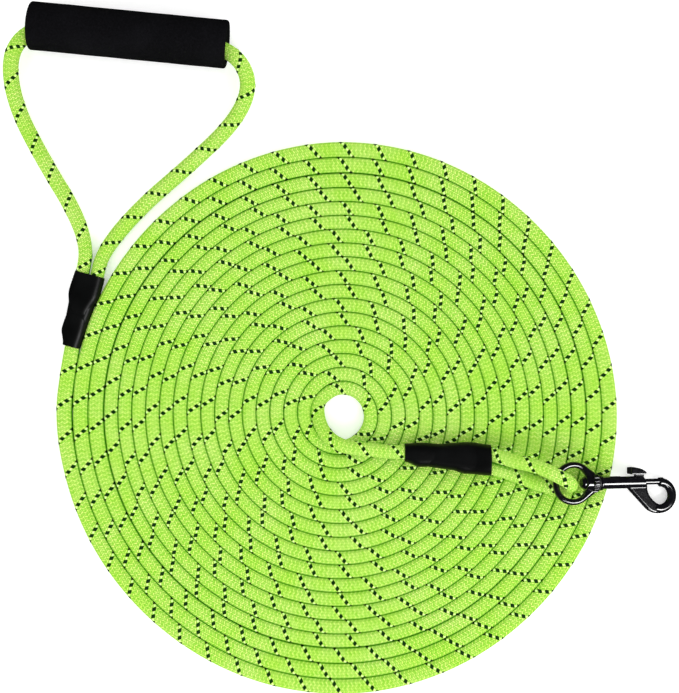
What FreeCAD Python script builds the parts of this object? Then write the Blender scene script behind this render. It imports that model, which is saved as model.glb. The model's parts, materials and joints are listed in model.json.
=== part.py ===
"""Long training leash: a flat coil of braided rope, a handle loop with a foam grip, and a swivel bolt snap.

Millimetres. The origin is the middle of the coil's eye, on the floor, with +Z up and +X towards the snap.
"""
import FreeCAD, Part
import math
import os

from FreeCAD import Placement, Rotation, Vector

os.makedirs("parts", exist_ok=True)

# Rope
ROPE_D = 7.8
ROPE_R = ROPE_D / 2

# Coil: a spiral wound anticlockwise from its outer end inwards, seen from above
COIL_X = -2.25
COIL_Y = 1.7
COIL_TURN = 7.82            # growth of the radius in each close turn
COIL_BASE = 13.0            # radius where the close turns are counted from, on the -X side
LOOSE_FROM = 15.0           # turns after which the coil is laid more loosely
LOOSE_STEP = 0.87           # extra growth in each loose turn
CORNER_FLAT = 0.008         # share by which the coil is flatter on its diagonals
OUTER_ANGLE = 172.0         # where the outer end leaves, in degrees from +X
OUTER_TURNS = 18.0 + (180.0 - OUTER_ANGLE) / 360
INNER_ANGLE = 130.0         # where the inner end leaves
INNER_TURNS = (180.0 - INNER_ANGLE) / 360
LEAD_ROOM = 4.2             # extra width of the eye where the inner end climbs out
LEAD_ROOM_TURN = 0.47       # part of a turn that has it
LEAD_ROOM_FADE = 0.15       # part of a turn over which it ends
TURN_STEPS = 24             # points in each turn of the coil's edges

# Foam grip on the handle loop
GRIP_A = Vector(-176.7, 220.0, 13.6)
GRIP_B = Vector(-65.8, 209.2, 13.6)
GRIP_R = 13.5
GRIP_EDGE = 1.5
BORE_R = 4.5
MOUTH_MIDDLE = 0.6          # where along the mouth its arc's middle point is
MOUTH_DEPTH = 13.0
MOUTH_ARC = 16.5

# Sleeves over the splices: station, sideways offset, height of the middle, width and thickness
SLEEVE_WALL = 0.5
BORE_PAST = 0.5             # how far the bore's loft runs past the sleeve's ends
LEAST_FLAT = 0.05           # least half length of an outline's straight sides
HANDLE_SLEEVE_TOP = Vector(-144.4, 80.8, 0)
HANDLE_SLEEVE_END = Vector(-155.4, 40.0, 0)
HANDLE_SLEEVE = [
    (0.0, 0.0, 5.1, 17.4, 10.0),
    (11.0, -0.2, 5.2, 18.0, 10.2),
    (22.2, -0.4, 5.1, 12.9, 9.9),
    (33.0, -0.7, 5.0, 13.7, 9.9),
    (42.3, 0.4, 4.8, 10.3, 9.5),
]
HOOK_SLEEVE_TOP = Vector(33.4, 0, 0)
HOOK_SLEEVE_END = Vector(81.6, 0, 0)
HOOK_SLEEVE = [
    (0.0, -19.5, 13.2, 10.4, 9.9),
    (8.6, -20.7, 13.3, 13.8, 10.3),
    (19.3, -20.9, 13.2, 12.9, 10.0),
    (35.5, -22.5, 13.3, 17.9, 10.4),
    (48.2, -23.6, 14.3, 17.4, 12.6),
]
BAND_WALL = 0.3
BAND_LENGTH = 5.0
BAND_ROOM = 0.1
HANDLE_BAND_AT = Vector(-145.9, 75.1, 5.1)
HANDLE_BAND_LINE = Vector(-0.296, -0.955, 0)
HOOK_BAND_AT = Vector(68.0, -22.4, 13.2)
HOOK_BAND_LINE = Vector(1, -0.02, 0)
LEG_GAP = 8.1               # distance between the middle lines of the two legs under a band

# Snap: every piece is drawn about the middle of the ring with the snap's axis along +X, then laid at a slope
SNAP_PLACE = Vector(127.3, -36.4, 17.4)
SNAP_SLOPE = 14.0
CASTING_EDGE = 0.4          # rounding of the castings' small edges
PAST = 3.0                  # how far a cutting shape runs past the solid
RING_R = 10.4               # middle of the ring's wire
WIRE_R = 1.8
SHOULDER_START = Vector(5.4, 8.9, 0)
SHOULDER_LINE = Vector(6.4, -5.8, 0)
SHOULDER_R = 2.8
BOSS_START = 6.8
BOSS_END = 14.2
BOSS_R = 4.4
BOSS_EDGE = 0.8
COLLAR_LENGTH = 3.4
COLLAR_R = 5.5
COLLAR_EDGE = 0.6
FLUTES = 16
FLUTE_R = 0.45
POST_R = 2.0
HEAD_R = 3.3
HEAD_TOP_R = 2.4
HEAD_DOME = 1.3             # length of the head's sloping part
HEAD_RIM = 0.7
HEAD_GAP = 0.1              # the head stands this far off the boss
HEAD_ROOM = 0.3             # radial room round the head
RIVET_END = 18.2
RUNNING = 0.08              # radial clearance of the turning and sliding fits
WASHER_R = 3.9
WASHER_T = 0.8
WASHER_FIT = 0.05
BARREL_R = 3.5
BARREL_START = 15.6
BARREL_END = 43.4
FLANGE_R = 4.4
FLANGE_LENGTH = 1.3
NOSE_SLANT = 12.0
NOSE_BLOCK = 12.0           # size of the block that cuts the nose
BOLT_R = 1.65
BOLT_START = 30.0
BOLT_TIP = 53.3
BOLT_TRAVEL = 8.5
SOCKET_ROOM = 0.2           # radial room of the bolt's end in the hook's tip
SOCKET_DEPTH = 0.4          # room past the bolt's end
SLOT_WIDTH = 2.8
SLOT_ROOM = 0.3             # room behind the knob when it is pulled back
SLOT_OPEN = 2.0             # how far the slot runs past the barrel's nose
SPRING_START = 19.4
SPRING_PITCH = 1.6
SPRING_R = 1.25             # middle of the spring's wire
SPRING_WIRE_R = 0.25
SPRING_ROOM = 0.05          # gap at each end of the spring
BOW_X = 52.6                # middle of the hook's round bow
BOW_Y = -8.0
BOW_R = 7.5
BOW_WIRE_R = 2.5
BELLY_X = 51.0              # middle of the round that the arm's outside ends in, short of the bow's own
BOW_FROM = -112.0           # angle where the bow leaves the arm
BOW_TO = 93.0               # angle where it ends, beside the bolt
ARM_CORNER = Vector(33.0, -3.7, 0)
ARM_ROOT_Y = -1.5           # the arm starts inside the barrel
ARM_INSIDE = [Vector(49.8, -11.8, 0), Vector(47.0, -9.2, 0), Vector(45.2, -6.4, 0), Vector(44.4, -3.0, 0)]
ARM_HALF = 1.9              # half thickness of the flat arm
ARM_EDGE = 1.2
TIP_R = 2.3
TIP_START = 51.9
TIP_LENGTH = 2.6
TIP_Y = -0.1
KNOB_X = 37.2
KNOB_LENGTH = 5.2
BLADE_T = 2.4
BLADE_HEIGHT = 3.0
BLADE_GAP = 0.1             # the blade starts this far off the bolt
KNOB_PIN_R = 0.9
KNOB_PIN_LENGTH = 3.0
KNOB_PIN_FOOT = -1.0
KNOB_HEEL = Vector(33.8, 4.5, 0)
KNOB_BACK = Vector(33.8, 8.1, 0)
KNOB_CROWN = Vector(36.8, 8.3, 0)
KNOB_TIP = Vector(43.3, 5.5, 0)
KNOB_TOE = Vector(42.6, 4.5, 0)
KNOB_HALF = 3.3

# Rope routes: corner points of straight runs that are joined by tangent arcs
HANDLE_ROUTE = [
    (-150.6, 72.8, 5.1), (-148.7, 80.4, 5.0), (-146.2, 95.8, 4.3), (-153.1, 116.3, 4.0),
    (-170.0, 144.0, 4.4), (-184.8, 172.5, 6.5), (-189.1, 194.5, 10.2), (-185.6, 209.6, 12.9),
    (-172.0, 219.54, 13.6), (-72.3, 209.83, 13.6), (-57.2, 199.5, 12.9), (-53.4, 184.2, 10.5),
    (-63.3, 165.7, 7.0), (-86.7, 144.0, 4.6), (-116.2, 118.5, 4.0), (-136.6, 93.6, 4.3),
    (-141.1, 76.6, 5.1), (-144.0, 68.0, 5.1), (-150.4, 58.4, 5.1),
]
HOOK_ROUTE = [
    (-16.7, -3.8, 6.8), (-10.4, -12.3, 10.6), (-0.3, -16.5, 12.9), (14.6, -18.0, 13.4),
    (29.7, -19.5, 13.2), (53.2, -19.0, 13.2), (71.0, -18.4, 13.2), (82.2, -19.8, 15.0),
    (94.5, -21.5, 20.0), (107.1, -23.7, 24.4), (125.1, -35.2, 26.9), (126.2, -39.1, 12.3),
    (112.2, -40.2, 12.2), (98.2, -35.2, 12.2), (83.6, -27.5, 12.8), (65.0, -26.4, 13.2),
]
ARC_SHARE = 0.45            # part of the shorter run that an arc takes at each corner
LEAD_RUN = 9.0              # first straight run of the lead out of the coil
COIL_RUN = 14.2             # last straight run of the handle rope into the coil


def coil_radius(turns, angle):
    """Radius of the rope's middle line after so many turns, at an angle in degrees."""
    radius = COIL_BASE + COIL_TURN * turns + LOOSE_STEP * max(0.0, turns - LOOSE_FROM)
    return radius * (1 - CORNER_FLAT * math.sin(math.radians(2 * angle)) ** 2)


def coil_point(radius, angle, height=0.0):
    bearing = math.radians(angle)
    return Vector(COIL_X + radius * math.cos(bearing), COIL_Y + radius * math.sin(bearing), height)


def along_coil(angle):
    """Direction in which the winding runs at an angle."""
    bearing = math.radians(angle)
    return Vector(-math.sin(bearing), math.cos(bearing), 0)


def spiral_edge(start_angle, start_turns, offset):
    """One full turn of the spiral, moved sideways by offset(share of the turn)."""
    points = []
    for step in range(TURN_STEPS + 1):
        share = step / TURN_STEPS
        angle = start_angle + 360 * share
        points.append(coil_point(coil_radius(start_turns - share, angle) + offset(share), angle))
    curve = Part.BSplineCurve()
    curve.interpolate(points)
    return curve.toShape(), points[0], points[-1]


def lead_room(share):
    """Sideways offset of the eye's edge: it is wider where the inner end climbs out."""
    fade = min(max(1 - (share - LEAD_ROOM_TURN) / LEAD_ROOM_FADE, 0.0), 1.0)
    return -ROPE_R + LEAD_ROOM * fade * fade * (3 - 2 * fade)


def make_coil():
    outer, first, last = spiral_edge(OUTER_ANGLE, OUTER_TURNS, lambda share: ROPE_R)
    outline = Part.Wire([outer, Part.makeLine(last, first)])
    inner, first, last = spiral_edge(INNER_ANGLE, INNER_TURNS + 1, lead_room)
    eye = Part.Wire([inner, Part.makeLine(last, first)])
    face = Part.Face([outline, eye])
    face.validate()
    return face.extrude(Vector(0, 0, ROPE_D))


def rounded_path(points):
    """Straight runs joined by tangent arcs, each as large as its runs allow. Returns the wire and the radii."""
    edges = []
    radii = []
    here = points[0]
    for before, corner, after in zip(points, points[1:], points[2:]):
        back = before - corner
        ahead = after - corner
        reach = ARC_SHARE * min(back.Length, ahead.Length)
        turn = math.pi - back.getAngle(ahead)
        radius = reach / math.tan(turn / 2)
        back.normalize()
        ahead.normalize()
        start = corner + back * reach
        end = corner + ahead * reach
        middle = (back + ahead).normalize()
        gap = radius / math.cos(turn / 2) - radius
        edges.append(Part.LineSegment(here, start).toShape())
        edges.append(Part.Arc(start, corner + middle * gap, end).toShape())
        radii.append(round(radius, 1))
        here = end
    edges.append(Part.LineSegment(here, points[-1]).toShape())
    return Part.Wire(edges), radii


def make_tube(name, points):
    path, radii = rounded_path(points)
    direction = points[1] - points[0]
    section = Part.Wire(Part.makeCircle(ROPE_R, points[0], direction))
    tube = path.makePipeShell([section], True, True)
    expected = math.pi * ROPE_R ** 2 * path.Length
    print(name, "radii", radii)
    print(name, "length", round(path.Length, 1), "volume ratio", round(tube.Volume / expected, 4))
    return tube


def handle_points():
    """From the tail in the sleeve, through the grip and back through the sleeve to the coil's outer end."""
    end = coil_point(coil_radius(OUTER_TURNS, OUTER_ANGLE), OUTER_ANGLE, ROPE_R)
    points = [Vector(*point) for point in HANDLE_ROUTE]
    points.append(end - along_coil(OUTER_ANGLE) * COIL_RUN)
    points.append(end)
    return points


def hook_points():
    """From the coil's inner end, over the coil, round the ring and back into the sleeve."""
    start = coil_point(coil_radius(INNER_TURNS, INNER_ANGLE), INNER_ANGLE, ROPE_R)
    points = [start, start + along_coil(INNER_ANGLE) * LEAD_RUN]
    points += [Vector(*point) for point in HOOK_ROUTE]
    return points


def make_grip():
    """A foam tube whose bore opens like a trumpet at each end, turned about its own axis."""
    length = (GRIP_B - GRIP_A).Length
    half = length / 2
    flare_end = MOUTH_ARC - math.sqrt(MOUTH_ARC ** 2 - MOUTH_DEPTH ** 2)
    flare_mid_x = MOUTH_DEPTH * MOUTH_MIDDLE
    flare_mid = MOUTH_ARC - math.sqrt(MOUTH_ARC ** 2 - flare_mid_x ** 2)
    round_off = GRIP_EDGE * (1 - math.sqrt(0.5))
    edges = []
    for side in (-1, 1):
        throat = Vector(side * (half - MOUTH_DEPTH), BORE_R, 0)
        middle = Vector(side * (half - MOUTH_DEPTH + flare_mid_x), BORE_R + flare_mid, 0)
        mouth = Vector(side * half, BORE_R + flare_end, 0)
        rim = Vector(side * half, GRIP_R - GRIP_EDGE, 0)
        corner = Vector(side * (half - round_off), GRIP_R - round_off, 0)
        shoulder = Vector(side * (half - GRIP_EDGE), GRIP_R, 0)
        edges.append(Part.Arc(throat, middle, mouth).toShape())
        edges.append(Part.makeLine(mouth, rim))
        edges.append(Part.Arc(rim, corner, shoulder).toShape())
    for inset, radius in ((MOUTH_DEPTH, BORE_R), (GRIP_EDGE, GRIP_R)):
        edges.append(Part.makeLine(Vector(inset - half, radius, 0), Vector(half - inset, radius, 0)))
    profile = Part.Wire(Part.__sortEdges__(edges))
    grip = Part.Face(profile).revolve(Vector(0, 0, 0), Vector(1, 0, 0), 360)
    grip.Placement = Placement((GRIP_A + GRIP_B) * 0.5, Rotation(Vector(1, 0, 0), GRIP_B - GRIP_A))
    return grip


def stadium(width, height):
    """Outline with round sides in the YZ plane."""
    radius = height / 2
    flat = max(width / 2 - radius, LEAST_FLAT)
    top_a = Vector(0, -flat, radius)
    top_b = Vector(0, flat, radius)
    low_a = Vector(0, -flat, -radius)
    low_b = Vector(0, flat, -radius)
    return Part.Wire([
        Part.makeLine(top_a, top_b),
        Part.Arc(top_b, Vector(0, flat + radius, 0), low_b).toShape(),
        Part.makeLine(low_b, low_a),
        Part.Arc(low_a, Vector(0, -flat - radius, 0), top_a).toShape(),
    ])


def sleeve_loft(stations, thinner, longer):
    """Loft through the stations along +X. Sections are smaller by thinner, and the ends longer by longer."""
    wires = []
    for index, (along, offset, height, width, thickness) in enumerate(stations):
        if index == 0:
            along -= longer
        if index == len(stations) - 1:
            along += longer
        wire = stadium(width - 2 * thinner, thickness - 2 * thinner)
        wire.translate(Vector(along, offset, height))
        wires.append(wire)
    return Part.makeLoft(wires, True, False)


def make_sleeve(stations, start, end):
    sleeve = sleeve_loft(stations, 0, 0).cut(sleeve_loft(stations, SLEEVE_WALL, BORE_PAST))
    sleeve.Placement = Placement(start, Rotation(Vector(1, 0, 0), end - start))
    return sleeve


def make_band(middle, direction):
    """Flat metal band round two legs of rope that lie side by side."""
    width = LEG_GAP + ROPE_D + BAND_ROOM
    thick = ROPE_D + BAND_ROOM
    outer = Part.Face(stadium(width + 2 * BAND_WALL, thick + 2 * BAND_WALL))
    inner = Part.Face(stadium(width, thick))
    band = outer.cut(inner).extrude(Vector(BAND_LENGTH, 0, 0))
    band.translate(Vector(-BAND_LENGTH / 2, 0, 0))
    band.Placement = Placement(middle, Rotation(Vector(1, 0, 0), direction))
    return band


def snap_matrix():
    return Placement(SNAP_PLACE, Rotation(Vector(0, 1, 0), SNAP_SLOPE))


def rod(radius, start, end, y=0.0):
    return Part.makeCylinder(radius, end - start, Vector(start, y, 0), Vector(1, 0, 0))


def softened(shape, radius):
    """The shape with its round edges filleted."""
    return shape.makeFillet(radius, [edge for edge in shape.Edges if edge.Closed])


def make_collar():
    """The boss's thicker end, with grooves along it for the fingers."""
    start = BOSS_END - COLLAR_LENGTH
    collar = softened(rod(COLLAR_R, start, BOSS_END), COLLAR_EDGE)
    for index in range(FLUTES):
        angle = 2 * math.pi * (index + 0.5) / FLUTES
        foot = Vector(start - PAST, COLLAR_R * math.cos(angle), COLLAR_R * math.sin(angle))
        collar = collar.cut(Part.makeCylinder(FLUTE_R, COLLAR_LENGTH + 2 * PAST, foot, Vector(1, 0, 0)))
    return collar


def make_swivel_eye():
    """Ring with two shoulders that run into a boss and its fluted collar. The bore turns on the rivet."""
    ring = Part.makeTorus(RING_R, WIRE_R)
    boss = softened(rod(BOSS_R, BOSS_START, BOSS_END), BOSS_EDGE)
    parts = [boss, make_collar()]
    for side in (-1, 1):
        foot = Vector(SHOULDER_START.x, side * SHOULDER_START.y, 0)
        line = Vector(SHOULDER_LINE.x, side * SHOULDER_LINE.y, 0)
        parts.append(Part.makeCone(WIRE_R, SHOULDER_R, line.Length, foot, line))
    bore = rod(POST_R + RUNNING, BOSS_START - PAST, BOSS_END + PAST)
    head_room = rod(HEAD_R + HEAD_ROOM, BOSS_START - PAST, BOSS_START)
    return ring.multiFuse(parts).cut(bore).cut(head_room)


def make_rivet():
    """Headed pin: the head is inside the ring and the tail is pressed into the barrel."""
    rim_end = BOSS_START - HEAD_GAP
    rim_start = rim_end - HEAD_RIM
    top = Vector(rim_start - HEAD_DOME, 0, 0)
    dome = Part.makeCone(HEAD_TOP_R, HEAD_R, HEAD_DOME, top, Vector(1, 0, 0))
    rim = rod(HEAD_R, rim_start, rim_end)
    shaft = rod(POST_R, rim_start, RIVET_END)
    return dome.multiFuse([rim, shaft]).removeSplitter()


def make_washer():
    start = (BOSS_END + BARREL_START - WASHER_T) / 2
    end = start + WASHER_T
    return rod(WASHER_R, start, end).cut(rod(POST_R + WASHER_FIT, start - PAST, end + PAST))


def make_arm():
    """Flat arm from the barrel to the bow: a straight outside that rounds into a belly, and a curved inside."""
    to_belly = Vector(BELLY_X, BOW_Y, 0) - ARM_CORNER
    outer_r = BOW_R + BOW_WIRE_R
    slope = math.atan2(to_belly.y, to_belly.x) - math.asin(outer_r / to_belly.Length)
    reach = math.sqrt(to_belly.Length ** 2 - outer_r ** 2)
    touch = ARM_CORNER + Vector(reach * math.cos(slope), reach * math.sin(slope), 0)
    bottom = Vector(BELLY_X, BOW_Y - outer_r, 0)
    below_bow = Vector(BOW_X, BOW_Y - outer_r, 0)
    middle = (math.radians(-90) + math.atan2(touch.y - BOW_Y, touch.x - BELLY_X)) / 2
    belly = Vector(BELLY_X + outer_r * math.cos(middle), BOW_Y + outer_r * math.sin(middle), 0)
    inside = [Vector(BOW_X, BOW_Y - BOW_R + BOW_WIRE_R, 0)] + ARM_INSIDE
    inner = Part.BSplineCurve()
    inner.interpolate(inside)
    root_near = Vector(inside[-1].x, ARM_ROOT_Y, 0)
    root_far = Vector(ARM_CORNER.x, ARM_ROOT_Y, 0)
    outline = Part.Wire([
        Part.makeLine(ARM_CORNER, touch),
        Part.Arc(touch, belly, bottom).toShape(),
        Part.makeLine(bottom, below_bow),
        Part.makeLine(below_bow, inside[0]),
        inner.toShape(),
        Part.makeLine(inside[-1], root_near),
        Part.makeLine(root_near, root_far),
        Part.makeLine(root_far, ARM_CORNER),
    ])
    arm = Part.Face(outline).extrude(Vector(0, 0, 2 * ARM_HALF))
    arm.translate(Vector(0, 0, -ARM_HALF))
    flat = [edge for edge in arm.Edges if edge.BoundBox.ZLength < ARM_HALF]
    rims = [edge for edge in flat if edge.BoundBox.YMin < ARM_CORNER.y and edge.BoundBox.XLength > ARM_EDGE]
    return arm.makeFillet(ARM_EDGE, rims)


def make_hook():
    """Arm, round bow and the thicker tip that the bolt's end enters."""
    sweep = BOW_TO - BOW_FROM
    bow = Part.makeTorus(BOW_R, BOW_WIRE_R, Vector(0, 0, 0), Vector(0, 0, 1), -180, 180, sweep)
    bow.Placement = Placement(Vector(BOW_X, BOW_Y, 0), Rotation(Vector(0, 0, 1), BOW_FROM))
    tip = rod(TIP_R, TIP_START, TIP_START + TIP_LENGTH, TIP_Y)
    return make_arm().multiFuse([bow, tip])


def make_snap_body():
    """Barrel and hook in one casting, with the bolt's bore and the slot for the knob."""
    barrel = rod(BARREL_R, BARREL_START, BARREL_END)
    nose_foot = Vector(BARREL_END, -BARREL_R, 0)
    nose = Part.makeBox(NOSE_BLOCK, NOSE_BLOCK, NOSE_BLOCK, nose_foot - Vector(0, 0, NOSE_BLOCK / 2))
    nose.rotate(nose_foot, Vector(0, 0, 1), NOSE_SLANT)
    flange = softened(rod(FLANGE_R, BARREL_START, BARREL_START + FLANGE_LENGTH), CASTING_EDGE)
    body = barrel.cut(nose).multiFuse([flange, make_hook()])
    bore = rod(BOLT_R + RUNNING, SPRING_START, BARREL_END + PAST)
    socket = rod(BOLT_R + SOCKET_ROOM, BARREL_END + PAST, BOLT_TIP + SOCKET_DEPTH)
    rivet_hole = rod(POST_R, BARREL_START - PAST, RIVET_END)
    slot_start = KNOB_X - BOLT_TRAVEL - SLOT_ROOM
    slot_length = BARREL_END + SLOT_OPEN - slot_start
    slot = Part.makeBox(slot_length, 2 * BARREL_R, SLOT_WIDTH, Vector(slot_start, 0, -SLOT_WIDTH / 2))
    return body.cut(bore).cut(socket).cut(rivet_hole).cut(slot)


def knob_pin():
    foot = Vector(KNOB_X + KNOB_LENGTH / 2, KNOB_PIN_FOOT, 0)
    return Part.makeCylinder(KNOB_PIN_R, KNOB_PIN_LENGTH, foot, Vector(0, 1, 0))


def make_bolt():
    return softened(rod(BOLT_R, BOLT_START, BOLT_TIP), CASTING_EDGE).cut(knob_pin())


def make_knob():
    """Thumb knob: a pin in the bolt, a blade through the slot, and a head that slopes down towards the hook."""
    foot = Vector(KNOB_X, BOLT_R + BLADE_GAP, -BLADE_T / 2)
    blade = Part.makeBox(KNOB_LENGTH, BLADE_HEIGHT, BLADE_T, foot)
    outline = Part.Wire([
        Part.makeLine(KNOB_HEEL, KNOB_BACK),
        Part.Arc(KNOB_BACK, KNOB_CROWN, KNOB_TIP).toShape(),
        Part.makeLine(KNOB_TIP, KNOB_TOE),
        Part.makeLine(KNOB_TOE, KNOB_HEEL),
    ])
    head = Part.Face(outline).extrude(Vector(0, 0, 2 * KNOB_HALF))
    head.translate(Vector(0, 0, -KNOB_HALF))
    head = head.makeFillet(CASTING_EDGE, head.Edges)
    return head.multiFuse([blade, knob_pin()]).removeSplitter()


def make_spring():
    """Coil spring between the bottom of the bore and the bolt's tail."""
    height = BOLT_START - SPRING_START - 2 * (SPRING_WIRE_R + SPRING_ROOM)
    helix = Part.makeHelix(SPRING_PITCH, height, SPRING_R)
    section = Part.Wire(Part.makeCircle(SPRING_WIRE_R, Vector(SPRING_R, 0, 0), Vector(0, 1, 0)))
    spring = Part.Wire(helix).makePipeShell([section], True, True)
    foot = Vector(SPRING_START + SPRING_WIRE_R + SPRING_ROOM, 0, 0)
    spring.Placement = Placement(foot, Rotation(Vector(0, 0, 1), Vector(1, 0, 0)))
    return spring


def export(name, shape):
    print(name, "valid", shape.isValid(), "solids", len(shape.Solids), "volume", round(shape.Volume, 1))
    shape.exportStep("parts/" + name + ".step")


def on_snap(shape):
    shape.Placement = snap_matrix().multiply(shape.Placement)
    return shape


def main():
    export("rope_coil", make_coil())
    export("handle_rope", make_tube("handle_rope", handle_points()))
    export("hook_rope", make_tube("hook_rope", hook_points()))
    export("foam_grip", make_grip())
    export("handle_sleeve", make_sleeve(HANDLE_SLEEVE, HANDLE_SLEEVE_TOP, HANDLE_SLEEVE_END))
    export("hook_sleeve", make_sleeve(HOOK_SLEEVE, HOOK_SLEEVE_TOP, HOOK_SLEEVE_END))
    export("handle_crimp_band", make_band(HANDLE_BAND_AT, HANDLE_BAND_LINE))
    export("hook_crimp_band", make_band(HOOK_BAND_AT, HOOK_BAND_LINE))
    export("swivel_eye", on_snap(make_swivel_eye()))
    export("swivel_rivet", on_snap(make_rivet()))
    export("swivel_washer", on_snap(make_washer()))
    export("snap_body", on_snap(make_snap_body()))
    export("bolt", on_snap(make_bolt()))
    export("thumb_knob", on_snap(make_knob()))
    export("bolt_spring", on_snap(make_spring()))


main()
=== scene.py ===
"""Looks of the training leash: braided rope in a flat coil, foam grip, shrunk sleeves and black bolt snap.

Lengths are in metres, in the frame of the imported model: +Z up, origin at the coil's eye on the floor.
"""
import json
import math

import bpy
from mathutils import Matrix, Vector


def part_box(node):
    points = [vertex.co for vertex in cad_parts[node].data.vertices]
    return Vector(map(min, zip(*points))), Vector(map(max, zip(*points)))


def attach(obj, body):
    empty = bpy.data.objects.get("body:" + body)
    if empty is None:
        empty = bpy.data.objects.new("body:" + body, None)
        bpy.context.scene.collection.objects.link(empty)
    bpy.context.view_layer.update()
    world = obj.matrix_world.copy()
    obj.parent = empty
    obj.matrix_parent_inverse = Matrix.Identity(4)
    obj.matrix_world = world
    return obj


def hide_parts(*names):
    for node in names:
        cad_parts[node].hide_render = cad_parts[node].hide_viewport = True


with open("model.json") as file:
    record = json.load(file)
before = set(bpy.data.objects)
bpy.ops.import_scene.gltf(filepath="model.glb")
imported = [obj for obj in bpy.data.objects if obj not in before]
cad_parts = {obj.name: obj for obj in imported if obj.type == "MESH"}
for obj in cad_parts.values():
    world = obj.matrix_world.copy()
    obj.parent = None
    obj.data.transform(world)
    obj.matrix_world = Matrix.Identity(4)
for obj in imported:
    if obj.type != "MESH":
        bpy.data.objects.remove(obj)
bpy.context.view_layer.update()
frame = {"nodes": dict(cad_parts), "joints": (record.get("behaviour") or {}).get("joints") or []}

MM = 0.001

# Camera above the leash
CAMERA_PLACE = (-3.1 * MM, 40.0 * MM, 800 * MM)
CAMERA_LENS = 72.9
CAMERA_SENSOR = 36

# Rope
ROPE_R = 3.9 * MM
BRAID_PITCH = 19.0 * MM     # length of rope in which a yarn goes once round
YARNS = 16                  # yarns each way round
PRESSED = 3.2               # how square the rope is where its turns press on each other; 2 is round
LOOSE_WIDTH = 0.44 * MM     # how much wider the rope lies on each side in the outer turns
TOUCH = 0.05 * MM           # how far neighbouring turns press into each other
FREE_WIDTH = 0.5 * MM       # how much wider the handle's loop is on each side, where nothing presses it
PRESS_LENGTH = 30 * MM      # length over which the rope goes from one shape to the next
TUBE_SIDES = 20
TUBE_STEP = 2.2 * MM
CURVE_STEPS = 24            # points that the smooth curve gives between two control points

# Coil: the spiral of the CAD solid
COIL_X = -2.25 * MM
COIL_Y = 1.7 * MM
COIL_TURN = 7.82 * MM       # growth of the radius in a turn
COIL_BASE = 13.0 * MM       # radius where the turns are counted from
LOOSE_FROM = 15.0           # turns after which the coil is laid more loosely
LOOSE_STEP = 0.87 * MM      # extra growth in a loose turn
CORNER_FLAT = 0.008         # how much the coil is drawn in at its corners, as a share of the radius
OUTER_ANGLE = 172.0         # bearing in degrees where the handle's rope joins the coil
OUTER_TURNS = 18.0 + (180.0 - OUTER_ANGLE) / 360
INNER_TURNS = 0.139         # turn at which the inner end rises out of the coil
POINTS_PER_TURN = 16
LEAD_RUN = 6.5 * MM         # straight run between the coil and the route's next point, at the inner end
COIL_RUN = 14.2 * MM        # the same at the outer end
HANDLE_LENGTH = 458 * MM    # length of rope before the coil
HOOK_LENGTH = 235 * MM      # length of rope after it
LOOP_FROM = 20 * MM         # where the handle's loop leaves its sleeve
LOOP_TO = 430 * MM          # where it comes back

# Look of the yarns
SECOND_YARN = 0.36          # how much darker every second yarn is
SPECKLE = 0.36              # how much darker a single visible float may be
TRACER_SINK = -0.08         # height of a tracer float's border against the rope's surface, in millimetres
TRACER_CROWN = 0.7          # share of a float's half size that is raised

# Routes of the rope outside the coil, repeated from the part
HANDLE_ROUTE = [
    (-0.1506, 0.0728, 0.0051), (-0.1487, 0.0804, 0.0050), (-0.1462, 0.0958, 0.0043),
    (-0.1531, 0.1163, 0.0040), (-0.1700, 0.1440, 0.0044), (-0.1848, 0.1725, 0.0065),
    (-0.1891, 0.1945, 0.0102), (-0.1856, 0.2096, 0.0129), (-0.1720, 0.21954, 0.0136),
    (-0.0723, 0.20983, 0.0136), (-0.0572, 0.1995, 0.0129), (-0.0534, 0.1842, 0.0105),
    (-0.0633, 0.1657, 0.0070), (-0.0867, 0.1440, 0.0046), (-0.1164, 0.1187, 0.0040),
    (-0.1374, 0.0938, 0.0043), (-0.1411, 0.0766, 0.0051), (-0.1440, 0.0680, 0.0051),
    (-0.1504, 0.0584, 0.0051),
]
HOOK_ROUTE = [
    (-0.0146, -0.0039, 0.0068), (-0.0089, -0.0121, 0.0106), (-0.0003, -0.0165, 0.0129),
    (0.0146, -0.0180, 0.0134), (0.0297, -0.0195, 0.0132), (0.0532, -0.0190, 0.0132),
    (0.0710, -0.0184, 0.0132), (0.0822, -0.0202, 0.0150), (0.0945, -0.0242, 0.0200),
    (0.1071, -0.0262, 0.0244), (0.1251, -0.0354, 0.0269), (0.1262, -0.0391, 0.0123),
    (0.1122, -0.0388, 0.0122), (0.0982, -0.0334, 0.0122), (0.0836, -0.0279, 0.0128),
    (0.0650, -0.0265, 0.0132),
]

# Sleeves, in millimetres
SLEEVE_WALL = 0.5
SLEEVE_SIDES = 64
SLEEVE_STEPS = 80
SLEEVE_LEAST_FLAT = 0.05    # least half width of a sleeve's flat top
INNER_RING_AT = 6.0         # place of the ring of points inside each end
CREASE_DEPTH = 0.9
CREASE_WIDTH = 0.9
CREASE_SWAY = 0.8           # how far the fold wanders along the sleeve
CREASE_MEAN = 0.65          # share of the depth on the top
CREASE_LEAN = 0.35          # how much deeper the fold is on the outer side
HANDLE_FOLD_AT = 23.2
HOOK_FOLD_AT = 19.7

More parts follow.
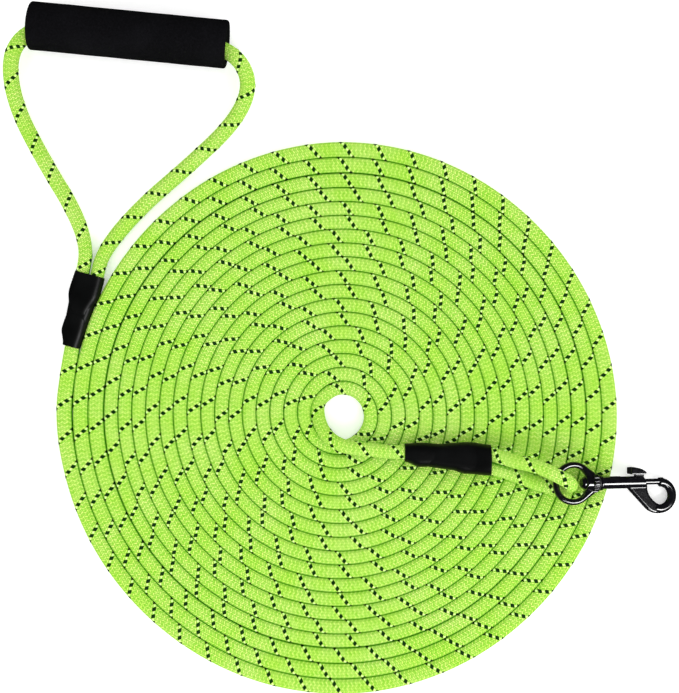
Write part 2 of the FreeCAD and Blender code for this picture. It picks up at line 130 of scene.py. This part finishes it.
# A sleeve's ends in metres, and its stations in millimetres: place along, sideways offset, height of the
# middle, width and thickness
HANDLE_SLEEVE_ENDS = Vector((-0.1444, 0.0808, 0)), Vector((-0.1554, 0.0400, 0))
HANDLE_SLEEVE = [
    (0.0, 0.0, 5.1, 17.4, 10.0),
    (11.0, -0.2, 5.2, 18.0, 10.2),
    (22.2, -0.4, 5.1, 12.9, 9.9),
    (33.0, -0.7, 5.0, 13.7, 9.9),
    (42.3, 0.4, 4.8, 10.3, 9.5),
]
HOOK_SLEEVE_ENDS = Vector((0.0334, 0, 0)), Vector((0.0816, 0, 0))
HOOK_SLEEVE = [
    (0.0, -19.5, 13.2, 10.4, 9.9),
    (8.6, -20.7, 13.3, 13.8, 10.3),
    (19.3, -20.9, 13.2, 12.9, 10.0),
    (35.5, -22.5, 13.3, 17.9, 10.4),
    (48.2, -23.6, 14.3, 17.4, 12.6),
]

# Light of the room, and how much of it gloss reflects, as in a studio with dark flags round the camera
ROOM = 1.0
GLOSS_ROOM = 0.03

# Foam grip
GRIP_R = 13.5 * MM
GRIP_EDGE = 1.5 * MM        # rounding of the rim
GRIP_SIDES = 96
BORE_R = 4.5 * MM
MOUTH_DEPTH = 13.0 * MM     # how deep the bore is flared
MOUTH_ARC = 16.5 * MM       # radius of the flare
MOUTH_STEPS = 8
EDGE_STEPS = 6
SWELL = 0.12 * MM           # unevenness of the foam's outside
SWELL_RATE = 0.11           # radians of swelling for each millimetre along the grip
SWELL_TWIST = 2             # how far the swelling is shifted round the grip, in radians

# Castings
CASTING_VOXEL = 0.16 * MM
CASTING_ROUNDS = 4
CASTING_SOFTNESS = 0.5

# Floor
FLOOR_HALF = 4.0
FLOOR_DROP = 0.05 * MM      # gap between the floor and the leash


def link(name, data):
    piece = bpy.data.objects.new(name, data)
    bpy.context.collection.objects.link(piece)
    return piece


def mesh_piece(name, vertices, faces, material):
    mesh = bpy.data.meshes.new(name)
    mesh.from_pydata(vertices, [], faces)
    mesh.materials.append(material)
    for face in mesh.polygons:
        face.use_smooth = True
    mesh.update()
    return link(name, mesh)


def tube_faces(rings, sides):
    """Faces of a tube that is closed on itself: rings of points, each with this many sides."""
    faces = []
    for ring in range(rings):
        here = ring * sides
        there = (ring + 1) % rings * sides
        for corner in range(sides):
            after = (corner + 1) % sides
            faces.append((here + corner, here + after, there + after, there + corner))
    return faces


# ---------------------------------------------------------------- camera

def make_camera():
    """A camera straight above the leash that takes in the whole of it."""
    data = bpy.data.cameras.new("camera")
    data.sensor_width = CAMERA_SENSOR
    data.lens = CAMERA_LENS
    camera = link("camera", data)
    camera.location = CAMERA_PLACE
    bpy.context.scene.camera = camera


# ---------------------------------------------------------------- rope line

def coil_radius(turns, angle):
    """Radius of the spiral at a number of turns, on a bearing in degrees."""
    radius = COIL_BASE + COIL_TURN * turns + LOOSE_STEP * max(0.0, turns - LOOSE_FROM)
    return radius * (1 - CORNER_FLAT * math.sin(math.radians(2 * angle)) ** 2)


def coil_point(radius, angle):
    bearing = math.radians(angle)
    return Vector((COIL_X + radius * math.cos(bearing), COIL_Y + radius * math.sin(bearing), ROPE_R))


def along_coil(angle):
    """Direction of the turns on a bearing."""
    bearing = math.radians(angle)
    return Vector((-math.sin(bearing), math.cos(bearing), 0))


def coil_points():
    """Control points of the turns, from the outer end in. The curve cuts corners, so they lie outside it."""
    step = 360 / POINTS_PER_TURN
    outside = 1 / math.cos(math.radians(step / 2))
    points = []
    angle = OUTER_ANGLE + step / 2
    turns = OUTER_TURNS - 0.5 / POINTS_PER_TURN
    while turns > INNER_TURNS + 0.5 / POINTS_PER_TURN:
        points.append(coil_point(coil_radius(turns, angle) * outside, angle))
        angle += step
        turns -= 1 / POINTS_PER_TURN
    return points


def rope_route():
    """Control points of the whole rope: handle loop, coil, lead over the coil and eye round the ring."""
    coil_start = coil_point(coil_radius(OUTER_TURNS, OUTER_ANGLE), OUTER_ANGLE)
    inner_angle = 180.0 - 360 * INNER_TURNS
    coil_end = coil_point(coil_radius(INNER_TURNS, inner_angle), inner_angle)
    route = [Vector(point) for point in HANDLE_ROUTE]
    route.append(coil_start - along_coil(OUTER_ANGLE) * COIL_RUN)
    route += coil_points()
    route.append(coil_end + along_coil(inner_angle) * LEAD_RUN)
    route += [Vector(point) for point in HOOK_ROUTE]
    return route


def smooth_line(points):
    """Points along the smooth curve that has these control points."""
    curve = bpy.data.curves.new("line", "CURVE")
    curve.dimensions = "3D"
    curve.resolution_u = CURVE_STEPS
    spline = curve.splines.new("NURBS")
    spline.points.add(len(points) - 1)
    for point, place in zip(spline.points, points):
        point.co = (*place, 1)
    spline.order_u = 3
    spline.use_endpoint_u = True
    holder = link("line", curve)
    mesh = bpy.data.meshes.new_from_object(holder)
    places = [vertex.co.copy() for vertex in mesh.vertices]
    bpy.data.objects.remove(holder)
    bpy.data.curves.remove(curve)
    bpy.data.meshes.remove(mesh)
    return places


def whole_length(places):
    return sum((after - before).length for before, after in zip(places, places[1:]))


def eased(share):
    """A smooth step from 0 to 1."""
    share = min(max(share, 0.0), 1.0)
    return share * share * (3 - 2 * share)


class Line:
    """The rope's middle line at even steps, with an untwisted direction sideways at each."""

    def __init__(self, places, step, coil_from, coil_to):
        self.coil_from = coil_from
        self.coil_to = coil_to
        self.places = [places[0]]
        wanted = step
        travelled = 0.0
        for here, there in zip(places, places[1:]):
            run = (there - here).length
            while run > 0 and travelled + run >= wanted:
                self.places.append(here.lerp(there, (wanted - travelled) / run))
                wanted += step
            travelled += run
        self.step = step
        self.length = (len(self.places) - 1) * step
        self.find_sides()

    def find_sides(self):
        """Directions ahead and sideways at each place, carried along without twist."""
        count = len(self.places)
        self.ahead = []
        for index in range(count):
            before = self.places[max(index - 1, 0)]
            after = self.places[min(index + 1, count - 1)]
            self.ahead.append((after - before).normalized())
        side = self.ahead[0].cross(Vector((0, 0, 1))).normalized()
        self.sides = [side]
        for before, after in zip(self.ahead, self.ahead[1:]):
            side = before.rotation_difference(after) @ side
            side = (side - after * side.dot(after)).normalized()
            self.sides.append(side)

    def pressed(self, distance):
        """1 where the rope lies between its neighbours in the coil, and 0 outside the coil."""
        return eased(min(distance - self.coil_from, self.coil_to - distance) / PRESS_LENGTH)

    def surface(self, distance, angle, proud):
        """The point at a distance along the line and an angle round it, and proud of the surface."""
        position = min(max(distance / self.step, 0.0), len(self.places) - 1.001)
        index = int(position)
        share = position - index
        middle = self.places[index].lerp(self.places[index + 1], share)
        side = self.sides[index].lerp(self.sides[index + 1], share)
        ahead = self.ahead[index].lerp(self.ahead[index + 1], share)
        outward = math.cos(angle) * side + math.sin(angle) * ahead.cross(side)
        pressed = self.pressed(distance)
        from_eye = math.hypot(middle.x - COIL_X, middle.y - COIL_Y)
        loose = min(max((from_eye - COIL_BASE) / COIL_TURN - LOOSE_FROM, 0.0), 1.0)
        free = eased(min(distance - LOOP_FROM, LOOP_TO - distance) / PRESS_LENGTH)
        half_width = ROPE_R + FREE_WIDTH * free + (TOUCH + LOOSE_WIDTH * loose) * pressed
        power = 2 + (PRESSED - 2) * pressed
        up = abs(outward.z) / ROPE_R
        level = math.sqrt(max(1 - outward.z ** 2, 0.0)) / half_width
        reach = (up ** power + level ** power) ** (-1 / power)
        place = middle + (reach + proud) * outward
        place.z = max(place.z, 0.0)
        return place


# ---------------------------------------------------------------- material helpers

class Shader:
    """A node material, built by small calls."""

    def __init__(self, name, rough, colour):
        self.material = bpy.data.materials.new(name)
        self.material.use_nodes = True
        self.tree = self.material.node_tree
        self.surface = self.tree.nodes["Principled BSDF"]
        self.surface.inputs["Roughness"].default_value = rough
        self.surface.inputs["Base Color"].default_value = (*colour, 1)
        self.material.diffuse_color = (*colour, 1)

    def node(self, kind, **settings):
        made = self.tree.nodes.new(kind)
        for key, value in settings.items():
            setattr(made, key, value)
        return made

    def join(self, source, target):
        self.tree.links.new(source, target)

    def put(self, value, socket):
        """Sets a number on the socket, or joins an output to it."""
        if isinstance(value, (int, float)):
            socket.default_value = value
        else:
            self.join(value, socket)

    def math(self, operation, first, second=0.0, third=0.0):
        made = self.node("ShaderNodeMath", operation=operation)
        for value, socket in zip((first, second, third), made.inputs):
            self.put(value, socket)
        return made.outputs[0]

    def noise(self, scale, detail=2.0, rough=0.5):
        made = self.node("ShaderNodeTexNoise")
        made.inputs["Scale"].default_value = scale
        made.inputs["Detail"].default_value = detail
        made.inputs["Roughness"].default_value = rough
        place = self.node("ShaderNodeTexCoord")
        self.join(place.outputs["Object"], made.inputs["Vector"])
        return made.outputs["Fac"]

    def ramp(self, value, stops):
        made = self.node("ShaderNodeValToRGB")
        ramp = made.color_ramp
        while len(ramp.elements) < len(stops):
            ramp.elements.new(0.5)
        for element, (position, colour) in zip(ramp.elements, stops):
            element.position = position
            element.color = (*colour, 1)
        self.join(value, made.inputs["Fac"])
        return made.outputs["Color"]

    def mix(self, share, first, second, kind="MIX"):
        made = self.node("ShaderNodeMix", data_type="RGBA", blend_type=kind)
        self.put(share, made.inputs["Factor"])
        for value, socket in ((first, made.inputs[6]), (second, made.inputs[7])):
            if isinstance(value, tuple):
                socket.default_value = (*value, 1)
            else:
                self.join(value, socket)
        return made.outputs[2]

    def colour(self, value):
        self.join(value, self.surface.inputs["Base Color"])

    def bump(self, height, depth, strength=1.0):
        made = self.node("ShaderNodeBump")
        made.inputs["Strength"].default_value = strength
        made.inputs["Distance"].default_value = depth
        self.join(height, made.inputs["Height"])
        self.join(made.outputs["Normal"], self.surface.inputs["Normal"])


def braid_material():
    """Two sets of yarns that cross two over, two under, worked out from the rope's own length and turn."""
    shader = Shader("braided_rope", 0.8, (0.42, 0.82, 0.06))
    coords = shader.node("ShaderNodeUVMap", uv_map="rope")
    parts = shader.node("ShaderNodeSeparateXYZ")
    shader.join(coords.outputs["UV"], parts.inputs[0])
    along = parts.outputs["X"]
    around = parts.outputs["Y"]
    right = shader.math("MULTIPLY", shader.math("SUBTRACT", around, along), YARNS)
    left = shader.math("MULTIPLY", shader.math("ADD", around, along), YARNS)
    right_part = shader.math("FRACT", right)
    left_part = shader.math("FRACT", left)
    right_cell = shader.math("FLOOR", right)
    left_cell = shader.math("FLOOR", left)
    cell = shader.math("FLOORED_MODULO", shader.math("ADD", right_cell, left_cell), 4.0)
    right_over = shader.math("LESS_THAN", cell, 1.5)
    width = mixed(shader, right_over, left_part, right_part)
    length = mixed(shader, right_over, shader.math("ADD", shader.math("SUBTRACT", cell, 2.0), right_part),
                   shader.math("ADD", cell, left_part))
    height = shader.math("MULTIPLY", rounded(shader, width, 0.5, 2.0), rounded(shader, length, 1.0, 4.0))
    cells = shader.node("ShaderNodeCombineXYZ")
    shader.join(right_cell, cells.inputs[0])
    shader.join(left_cell, cells.inputs[1])
    speckle = shader.node("ShaderNodeTexWhiteNoise")
    shader.join(cells.outputs[0], speckle.inputs["Vector"])
    patches = shader.noise(55, 3.0)
    fresh = shader.ramp(patches, [(0.3, (0.70, 1.00, 0.15)), (0.7, (0.84, 1.00, 0.28))])
    # Painted shade: the colour goes from the yarn's own green on the floats' crowns to a dark green in the
    # valleys between them, where shade falls.
    painted_valley_shade = shader.ramp(patches, [(0.3, (0.05, 0.26, 0.001)), (0.7, (0.09, 0.34, 0.002))])
    yarn = shader.mix(shader.math("POWER", height, 0.6), painted_valley_shade, fresh)
    second = shader.math("FLOORED_MODULO", mixed(shader, right_over, left_cell, right_cell), 2.0)
    speck = shader.math("MULTIPLY", speckle.outputs["Value"], SPECKLE)
    shade = shader.math("MULTIPLY_ADD", second, SECOND_YARN, speck)
    shaded = shader.mix(shade, yarn, (0.15, 0.56, 0.004))
    # Painted shade: ambient occlusion from the rope itself multiplies the colour by a deep green. It darkens
    # the rope in the seams between turns and wherever it lies close against itself, where shade falls.
    open_air = shader.node("ShaderNodeAmbientOcclusion", samples=8, only_local=True)
    open_air.inputs["Distance"].default_value = 5 * MM
    seam_painted_shade = shader.ramp(open_air.outputs["AO"], [(0.15, (0.22, 0.70, 0.03)), (0.55, (1.0, 1.0, 1.0))])
    shader.colour(shader.mix(1.0, shaded, seam_painted_shade, "MULTIPLY"))
    shader.bump(height, 0.25 * MM, 1.0)
    shader.surface.inputs["Specular IOR Level"].default_value = 0.04
    return shader.material


def mixed(shader, share, first, second):
    """first where share is 0 and second where it is 1."""
    return shader.math("MULTIPLY_ADD", shader.math("SUBTRACT", second, first), share, first)


def rounded(shader, value, middle, power):
    """1 at the middle, falling to 0 at 0 and at twice the middle."""
    away = shader.math("ABSOLUTE", shader.math("DIVIDE", shader.math("SUBTRACT", value, middle), middle))
    return shader.math("SUBTRACT", 1.0, shader.math("POWER", away, power))


def tracer_material(name, dark, light):
    """A tracer yarn, whose colour goes from dark to light with its fibres."""
    shader = Shader(name, 0.8, light)
    shader.colour(shader.ramp(shader.noise(2600, 2.0), [(0.35, dark), (0.65, light)]))
    shader.bump(shader.noise(5200, 2.0), 0.06 * MM, 0.6)
    shader.surface.inputs["Specular IOR Level"].default_value = 0.05
    return shader.material


def foam_material():
    """Closed-cell foam: fine pores and faint rubbed patches."""
    shader = Shader("black_foam", 0.86, (0.012, 0.012, 0.015))
    cells = shader.node("ShaderNodeTexVoronoi", feature="F1")
    cells.inputs["Scale"].default_value = 1700
    place = shader.node("ShaderNodeTexCoord")
    shader.join(place.outputs["Object"], cells.inputs["Vector"])
    pores = cells.outputs["Distance"]
    grain = shader.math("MULTIPLY", shader.noise(900, 4.0, 0.7), shader.math("ADD", pores, 0.4))
    tone = shader.ramp(grain, [(0.2, (0.001, 0.001, 0.0015)), (0.75, (0.004, 0.0037, 0.0052))])
    rubbed = shader.ramp(shader.noise(38, 3.0), [(0.45, (0.0, 0.0, 0.0)), (0.75, (0.0015, 0.0015, 0.002))])
    shader.colour(shader.mix(1.0, tone, rubbed, "ADD"))
    shader.bump(grain, 0.18 * MM, 0.8)
    shader.surface.inputs["Specular IOR Level"].default_value = 0.08
    return shader.material


def sleeve_material():
    """Shrunk rubber sleeve: satin, with faint marks that vary its roughness and surface."""
    shader = Shader("satin_sleeve", 0.36, (0.002, 0.002, 0.002))
    shader.surface.inputs["Specular IOR Level"].default_value = 0.15
    marks = shader.noise(420, 3.0, 0.6)
    soft = shader.noise(70, 2.0)
    shader.colour(shader.ramp(soft, [(0.3, (0.0016, 0.0018, 0.0018)), (0.7, (0.0034, 0.0038, 0.0038))]))
    rough = shader.math("MULTIPLY_ADD", marks, 0.14, 0.30)
    shader.join(rough, shader.surface.inputs["Roughness"])
    shader.bump(shader.math("MULTIPLY_ADD", soft, 2.0, marks), 0.10 * MM, 0.5)
    return shader.material


def black_metal_material():
    """Gloss black coating over a zinc casting, thin and uneven enough to show a little orange peel."""
    shader = Shader("gloss_black_metal", 0.16, (0.008, 0.008, 0.010))
    peel = shader.noise(650, 2.0)
    wear = shader.noise(240, 4.0, 0.65)
    shader.colour(shader.ramp(wear, [(0.4, (0.002, 0.002, 0.003)), (0.72, (0.006, 0.006, 0.008))]))
    shader.join(shader.math("MULTIPLY_ADD", wear, 0.10, 0.06), shader.surface.inputs["Roughness"])
    shader.bump(peel, 0.03 * MM, 0.15)
    shader.surface.inputs["Coat Weight"].default_value = 0.6
    shader.surface.inputs["Coat Roughness"].default_value = 0.08
    return shader.material


def steel_material():
    """Bare steel of the spring and the crimp bands."""
    shader = Shader("drawn_steel", 0.3, (0.55, 0.55, 0.56))
    shader.surface.inputs["Metallic"].default_value = 1.0
    marks = shader.noise(900, 3.0)
    shader.colour(shader.ramp(marks, [(0.3, (0.42, 0.42, 0.43)), (0.7, (0.66, 0.66, 0.67))]))
    shader.join(shader.math("MULTIPLY_ADD", marks, 0.2, 0.2), shader.surface.inputs["Roughness"])
    return shader.material


def nylon_material():
    """Black nylon of the thrust washer."""
    shader = Shader("black_nylon", 0.5, (0.02, 0.02, 0.02))
    marks = shader.noise(700, 3.0)
    shader.colour(shader.ramp(marks, [(0.3, (0.014, 0.014, 0.015)), (0.7, (0.03, 0.03, 0.032))]))
    shader.bump(marks, 0.03 * MM, 0.5)
    return shader.material


# ---------------------------------------------------------------- rope

def make_rope(line, material):
    """Round tube along the line, with a map that counts braid turns along it and one turn round it."""
    vertices = []
    faces = []
    rings = len(line.places)
    for ring in range(rings):
        for side in range(TUBE_SIDES):
            angle = 2 * math.pi * side / TUBE_SIDES
            vertices.append(line.surface(ring * line.step, angle, 0.0))
    for ring in range(rings - 1):
        for side in range(TUBE_SIDES):
            here = ring * TUBE_SIDES
            there = here + TUBE_SIDES
            after = (side + 1) % TUBE_SIDES
            faces.append((here + side, here + after, there + after, there + side))
    walls = len(faces)
    faces.append(tuple(reversed(range(TUBE_SIDES))))
    faces.append(tuple(range((rings - 1) * TUBE_SIDES, rings * TUBE_SIDES)))
    rope = mesh_piece("rope_braid", vertices, faces, material)
    layer = rope.data.uv_layers.new(name="rope")
    turn = line.step / BRAID_PITCH
    corners = ((0, 0), (0, 1), (1, 1), (1, 0))
    for face in range(walls):
        ring, side = divmod(face, TUBE_SIDES)
        first = rope.data.polygons[face].loop_start
        for loop, (ahead, round_it) in enumerate(corners):
            layer.data[first + loop].uv = ((ring + ahead) * turn, (side + round_it) / TUBE_SIDES)
    return rope


def make_tracer(name, line, first_cell, half_width, half_length, proud, material):
    """One yarn's visible floats: small raised squares that follow a helix round the rope."""
    shares = ((-1.0, TRACER_SINK), (-TRACER_CROWN, proud), (0.0, proud), (TRACER_CROWN, proud),
              (1.0, TRACER_SINK))
    vertices = []
    faces = []
    cells = int(line.length / BRAID_PITCH * 2 * YARNS) - 4
    count = len(shares)
    for start in range(first_cell, cells, 4):
        base = len(vertices)
        for row, row_lift in shares:
            for column, column_lift in shares:
                across = 1 + half_width * column
                along = start + 1 + half_length * row
                distance = BRAID_PITCH * (along - across) / (2 * YARNS)
                angle = math.pi * (along + across) / YARNS
                lift = min(row_lift, column_lift) * MM
                vertices.append(line.surface(max(distance, 0.0), angle, lift))
        for row in range(count - 1):
            for column in range(count - 1):
                corner = base + count * row + column
                faces.append((corner, corner + 1, corner + count + 1, corner + count))
    return mesh_piece(name, vertices, faces, material)


# ---------------------------------------------------------------- sleeves

def between(stations, along):
    """Offset, height, width and thickness at a distance along a sleeve, eased between its stations."""
    for first, second in zip(stations, stations[1:]):
        if along <= second[0]:
            share = eased((along - first[0]) / (second[0] - first[0]))
            return [a + (b - a) * share for a, b in zip(first[1:], second[1:])]
    return stations[-1][1:]


def stadium(width, height, count):
    """Points round a rectangle with round sides, in the plane across a sleeve."""
    radius = height / 2
    flat = max(width / 2 - radius, SLEEVE_LEAST_FLAT)
    points = []
    for index in range(count):
        angle = 2 * math.pi * index / count
        side = flat if math.cos(angle) >= 0 else -flat
        across = side + radius * math.cos(angle)
        points.append((across, radius * math.sin(angle)))
    return points


def crease(along, middle, angle):
    """How far the skin is drawn in by the fold across a sleeve, deepest on its outer side and top."""
    shape = math.exp(-((along - middle - CREASE_SWAY * math.sin(2 * angle)) / CREASE_WIDTH) ** 2)
    return CREASE_DEPTH * shape * (CREASE_MEAN - CREASE_LEAN * math.cos(angle))


def sleeve_path(length):
    """Place along and depth below the outside, once round the wall, with a rolled lip at each end."""
    wall = SLEEVE_WALL
    lip_start = [(wall, wall), (0.0, wall * 0.75), (0.0, wall * 0.25), (wall * 0.5, 0.0)]
    outside = [(length * step / SLEEVE_STEPS, 0.0) for step in range(1, SLEEVE_STEPS)]
    lip_end = [(length - along, inward) for along, inward in reversed(lip_start)]
    inside = [(length - INNER_RING_AT, wall), (INNER_RING_AT, wall)]
    return lip_start + outside + lip_end + inside


def make_sleeve(name, stations, ends, fold_at, material):
    """A thin shrunk tube with a fold across it."""
    start, end = ends
    ahead = (end - start).normalized()
    side = Vector((0, 0, 1)).cross(ahead)
    length = (end - start).length / MM
    path = sleeve_path(length)
    vertices = []
    for along, inward in path:
        offset, height, width, thickness = between(stations, min(max(along, 0.0), length))
        section = stadium(width - 2 * inward, thickness - 2 * inward, SLEEVE_SIDES)
        for corner, (across, up) in enumerate(section):
            drawn = 1 - crease(along, fold_at, 2 * math.pi * corner / SLEEVE_SIDES) * 2 / thickness
            across_and_up = side * (offset + across * drawn) + Vector((0, 0, height + up * drawn))
            vertices.append(start + MM * (ahead * along + across_and_up))
    return mesh_piece(name, vertices, tube_faces(len(path), SLEEVE_SIDES), material)


# ---------------------------------------------------------------- grip

def grip_profile(half):
    """Half outline of the foam tube: from the bore through a flared mouth and over the rim."""
    flare = [(half - MOUTH_DEPTH, BORE_R)]
    for step in range(1, MOUTH_STEPS + 1):
        along = MOUTH_DEPTH * step / MOUTH_STEPS
        opened = MOUTH_ARC - math.sqrt(MOUTH_ARC ** 2 - along ** 2)
        flare.append((half - MOUTH_DEPTH + along, BORE_R + opened))
    rim = []
    for step in range(EDGE_STEPS + 1):
        angle = math.pi / 2 * step / EDGE_STEPS
        rim.append((half - GRIP_EDGE * (1 - math.cos(angle)), GRIP_R - GRIP_EDGE * (1 - math.sin(angle))))
    return flare + rim


def make_grip(material):
    """Foam tube turned about the grip joint's axis, with faint swellings along it."""
    joint = next(joint for joint in frame["joints"] if joint["name"] == "grip_spin")
    axis = Vector(joint["axis"]).normalized()
    middle = Vector(joint["pos_m"])
    low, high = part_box("foam_grip")
    half = ((high.x - low.x) - 2 * GRIP_R * abs(axis.y)) / (2 * axis.x)
    profile = grip_profile(half)
    outside = [(half * share, GRIP_R) for share in (0.8, 0.6, 0.4, 0.2, 0.0, -0.2, -0.4, -0.6, -0.8)]
    mirrored = [(-along, radius) for along, radius in reversed(profile)]
    bore = [(half * share, BORE_R) for share in (-0.4, 0.0, 0.4)]
    outline = profile + outside + mirrored + bore
    turn = Vector((1, 0, 0)).rotation_difference(axis)
    vertices = []
    for along, radius in outline:
        for corner in range(GRIP_SIDES):
            angle = 2 * math.pi * corner / GRIP_SIDES
            swelling = SWELL * math.sin(along / MM * SWELL_RATE + SWELL_TWIST * math.sin(angle))
            reach = radius - abs(swelling) if radius > BORE_R else radius
            across = Vector((along, reach * math.cos(angle), reach * math.sin(angle)))
            vertices.append(middle + turn @ across)
    faces = [(a, d, c, b) for a, b, c, d in tube_faces(len(outline), GRIP_SIDES)]
    return mesh_piece("grip_foam", vertices, faces, material)


# ---------------------------------------------------------------- castings

def make_casting(name, node, material):
    """A cast version of a CAD node: the same shape with every edge softened."""
    source = frame["nodes"][node]
    casting = link(name, source.data.copy())
    casting.data.materials.clear()
    casting.data.materials.append(material)
    remesh = casting.modifiers.new("remesh", "REMESH")
    remesh.mode = "VOXEL"
    remesh.voxel_size = CASTING_VOXEL
    soften = casting.modifiers.new("soften", "SMOOTH")
    soften.factor = CASTING_SOFTNESS
    soften.iterations = CASTING_ROUNDS
    graph = bpy.context.evaluated_depsgraph_get()
    mesh = bpy.data.meshes.new_from_object(casting.evaluated_get(graph))
    casting.modifiers.clear()
    casting.data = mesh
    for face in mesh.polygons:
        face.use_smooth = True
    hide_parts(node)
    return casting


# ---------------------------------------------------------------- studio

def make_floor():
    """A bright floor that gloss doesn't reflect, so that the black parts stay black at their edges."""
    size = FLOOR_HALF
    corners = [(-size, -size, 0), (size, -size, 0), (size, size, 0), (-size, size, 0)]
    shader = Shader("pale_floor", 0.9, (0.96, 0.96, 0.96))
    shader.colour(shader.ramp(shader.noise(3.0), [(0.3, (0.95, 0.95, 0.95)), (0.7, (0.97, 0.97, 0.97))]))
    shader.surface.inputs["Emission Color"].default_value = (1, 1, 1, 1)
    shader.surface.inputs["Emission Strength"].default_value = 0.25
    floor = mesh_piece("floor", corners, [(0, 1, 2, 3)], shader.material)
    floor.location.z = -FLOOR_DROP
    floor.visible_glossy = False


def add_area(name, place, aim, width, depth, power, shown_to):
    """A soft box that only the diffuse part, only the gloss or all of every surface receives."""
    data = bpy.data.lights.new(name, "AREA")
    data.shape = "RECTANGLE"
    data.size = width
    data.size_y = depth
    data.energy = power
    lamp = link(name, data)
    lamp.location = place
    lamp.rotation_euler = (Vector(aim) - Vector(place)).to_track_quat("-Z", "Y").to_euler()
    lamp.visible_glossy = shown_to != "diffuse"
    lamp.visible_diffuse = shown_to != "gloss"


def light_scene():
    """An even room, dark to gloss, and the lamps: a key, a fill and two that make the snap's highlights."""
    world = bpy.data.worlds.new("studio")
    bpy.context.scene.world = world
    world.use_nodes = True
    tree = world.node_tree
    background = tree.nodes["Background"]
    rays = tree.nodes.new("ShaderNodeLightPath")
    dimmer = tree.nodes.new("ShaderNodeMath")
    dimmer.operation = "MULTIPLY_ADD"
    dimmer.inputs[1].default_value = GLOSS_ROOM - ROOM
    dimmer.inputs[2].default_value = ROOM
    tree.links.new(rays.outputs["Is Glossy Ray"], dimmer.inputs[0])
    tree.links.new(dimmer.outputs[0], background.inputs["Strength"])
    background.inputs["Color"].default_value = (1, 1, 1, 1)
    add_area("key", (-0.9, -0.9, 1.3), (0, 0.03, 0), 0.6, 0.6, 6.4, "diffuse")
    add_area("fill", (1.0, 0.9, 1.4), (0, 0.03, 0), 1.2, 1.2, 4.2, "diffuse")
    add_area("strip", (0.73, -0.87, 1.02), (0.15, -0.036, 0.01), 1.2, 0.10, 8, "all")
    add_area("barrel_glint", (1.04, -0.55, 0.98), (0.165, -0.036, 0.01), 0.5, 0.5, 12, "gloss")
    bpy.context.scene.view_settings.view_transform = "Standard"


def paint(node, material):
    """Gives a CAD node that stays as it is this material."""
    piece = frame["nodes"][node]
    piece.data.materials.clear()
    piece.data.materials.append(material)


# ---------------------------------------------------------------- the leash

def dress_rope():
    places = smooth_line(rope_route())
    line = Line(places, TUBE_STEP, HANDLE_LENGTH, whole_length(places) - HOOK_LENGTH)
    rope = make_rope(line, braid_material())
    dark = tracer_material("dark_tracer", (0.002, 0.018, 0.002), (0.007, 0.038, 0.006))
    pale = tracer_material("pale_tracer", (0.66, 0.97, 0.28), (0.80, 1.00, 0.46))
    dark_floats = make_tracer("tracer_dark", line, 0, 1.22, 1.16, 0.14, dark)
    pale_floats = make_tracer("tracer_pale", line, 2, 0.52, 0.62, 0.10, pale)
    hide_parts("rope_coil", "handle_rope", "hook_rope")
    for piece in (rope, dark_floats, pale_floats):
        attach(piece, "rope")


def dress_sleeves():
    material = sleeve_material()
    for name, node, stations, ends, fold_at in (
        ("handle_sleeve_skin", "handle_sleeve", HANDLE_SLEEVE, HANDLE_SLEEVE_ENDS, HANDLE_FOLD_AT),
        ("hook_sleeve_skin", "hook_sleeve", HOOK_SLEEVE, HOOK_SLEEVE_ENDS, HOOK_FOLD_AT),
    ):
        skin = make_sleeve(name, stations, ends, fold_at, material)
        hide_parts(node)
        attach(skin, "rope")


def dress_grip():
    grip = make_grip(foam_material())
    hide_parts("foam_grip")
    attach(grip, "grip")


def dress_snap():
    metal = black_metal_material()
    for name, node, body in (
        ("ring_casting", "swivel_eye", "ring"),
        ("snap_casting", "snap_body", "snap"),
        ("knob_casting", "thumb_knob", "bolt"),
    ):
        casting = make_casting(name, node, metal)
        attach(casting, body)
    for node in ("swivel_rivet", "bolt"):
        paint(node, metal)
    steel = steel_material()
    for node in ("bolt_spring", "handle_crimp_band", "hook_crimp_band"):
        paint(node, steel)
    paint("swivel_washer", nylon_material())


make_camera()
dress_rope()
dress_sleeves()
dress_grip()
dress_snap()
make_floor()
light_scene()
